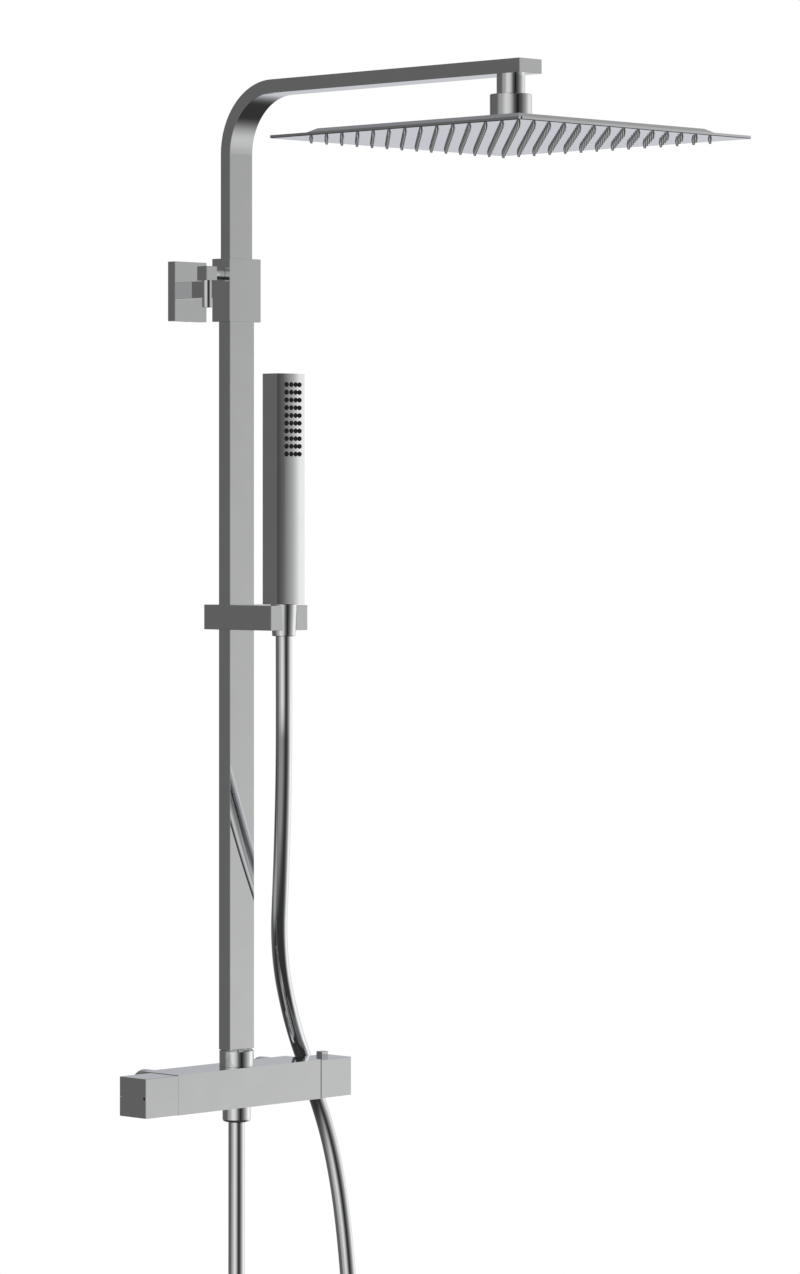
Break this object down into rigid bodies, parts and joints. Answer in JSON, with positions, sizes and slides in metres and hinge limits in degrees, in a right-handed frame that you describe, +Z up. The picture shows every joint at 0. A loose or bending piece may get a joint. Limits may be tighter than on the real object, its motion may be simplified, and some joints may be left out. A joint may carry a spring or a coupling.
{
  "type": "rainfall shower column",
  "caption": "Wall-hung thermostatic shower column: bar valve, telescopic riser, square overhead rain head, sliding holder with slim square handset and hose.",
  "frame": {"origin": "on the wall plane, midway between the two inlet centres, at the height of the valve's axis", "axes": "+Z up, +Y into the wall (the room is towards -Y), +X along the valve towards the temperature knob"},
  "size_m": [0.3343, 0.5669, 1.4128],
  "materials": {
    "chrome": "polished mirror chrome on brass",
    "plated_plastic": "polished chrome plate on moulded plastic",
    "hose_metal": "smooth silver hose skin, glossy",
    "brushed_steel": "bright stainless steel",
    "brass": "machined brass",
    "black_rubber": "soft black silicone rubber",
    "white_nylon": "natural nylon"
  },
  "bodies": {
    "column": {"valve_body": "chrome", "thermostat_cartridge": "brass", "diverter_cartridge": "brass", "cartridge_seals": "black_rubber", "cartridge_nuts": "brass", "temperature_stop_ring": "white_nylon", "inlet_nut_left": "chrome", "inlet_nut_right": "chrome", "inlet_tails": "brass", "inlet_filter_washers": "black_rubber", "check_valves": "white_nylon", "riser_nipple": "brass", "union_washers": "black_rubber", "riser_foot": "chrome", "top_union_nut": "chrome", "outlet_nipple": "brass", "hose_swivel_nut": "chrome", "lower_riser_tube": "chrome", "bracket_sleeve": "chrome", "sleeve_wiper": "black_rubber", "bracket_arm": "chrome", "bracket_bolt": "brushed_steel", "wall_plate": "chrome", "wall_fixing": "white_nylon", "plate_grub_screw": "brushed_steel", "shower_hose": "hose_metal"},
    "temperature_control": {"temperature_knob": "chrome", "thermostat_spindle": "brass", "temperature_knob_screw": "brushed_steel", "button_spring": "brushed_steel"},
    "safety_stop": {"safety_button": "plated_plastic"},
    "flow_control": {"flow_knob": "chrome", "diverter_spindle": "brass", "flow_knob_screw": "brushed_steel"},
    "clamp": {"clamp_stem": "chrome", "clamp_tip": "white_nylon", "clamp_lever": "chrome"},
    "upper_column": {"upper_tube": "chrome", "arm_end_cap": "chrome", "telescope_piston": "white_nylon", "telescope_seal": "black_rubber", "arm_neck": "chrome", "ball_stem": "chrome"},
    "ball_top_ring": {"ball_seal": "black_rubber"},
    "ball_lower_ring": {"ball_seat": "white_nylon"},
    "rain_head": {"swivel_nut": "chrome", "head_socket": "chrome", "head_cover": "chrome", "head_face": "brushed_steel", "nozzle_plate": "plated_plastic"},
    "handset_holder": {"holder_body": "plated_plastic", "holder_pad": "white_nylon", "holder_pad_spring": "brushed_steel"},
    "handset": {"handset_body": "plated_plastic", "handset_face": "plated_plastic", "handset_nozzles": "black_rubber", "handset_spigot": "brass", "hose_cone_nut": "chrome", "hose_cone_washer": "black_rubber"}
  },
  "joints": [
    {"name": "temperature_turn", "type": "hinge", "parent": "column", "child": "temperature_control", "pos_m": [0.1, -0.0722, 0], "axis": [1, 0, 0], "range_deg": [-150, 60]},
    {"name": "safety_press", "type": "slide", "parent": "temperature_control", "child": "safety_stop", "axis": [0, 0, -1], "range_m": [0, 0.0017], "stiffness_N_per_m": 500, "springref_m": -0.002, "deforming": ["button_spring"]},
    {"name": "flow_turn", "type": "hinge", "parent": "column", "child": "flow_control", "pos_m": [-0.1, -0.0722, 0], "axis": [1, 0, 0], "range_deg": [-90, 90]},
    {"name": "clamp_turn", "type": "hinge", "parent": "column", "child": "clamp", "pos_m": [-0.03, -0.07085, 0.7504], "axis": [1, 0, 0], "range_deg": [-100, 0]},
    {"name": "telescope_slide", "type": "slide", "parent": "column", "child": "upper_column", "axis": [0, 0, 1], "range_m": [-0.06, 0.2]},
    {"name": "head_tilt", "type": "hinge", "parent": "upper_column", "child": "ball_top_ring", "pos_m": [0, -0.4169, 0.884], "axis": [1, 0, 0], "range_deg": [-10, 10]},
    {"name": "head_roll", "type": "hinge", "parent": "ball_top_ring", "child": "ball_lower_ring", "pos_m": [0, -0.4169, 0.884], "axis": [0, 1, 0], "range_deg": [-10, 10]},
    {"name": "head_swivel", "type": "hinge", "parent": "ball_lower_ring", "child": "rain_head", "pos_m": [0, -0.4169, 0.884], "axis": [0, 0, 1], "continuous": true},
    {"name": "holder_slide", "type": "slide", "parent": "column", "child": "handset_holder", "axis": [0, 0, 1], "range_m": [-0.15, 0.15], "deforming": ["shower_hose"]},
    {"name": "handset_lift", "type": "slide", "parent": "handset_holder", "child": "handset", "axis": [0, 0, 1], "range_m": [0, 0.014], "deforming": ["shower_hose"]}
  ]
}
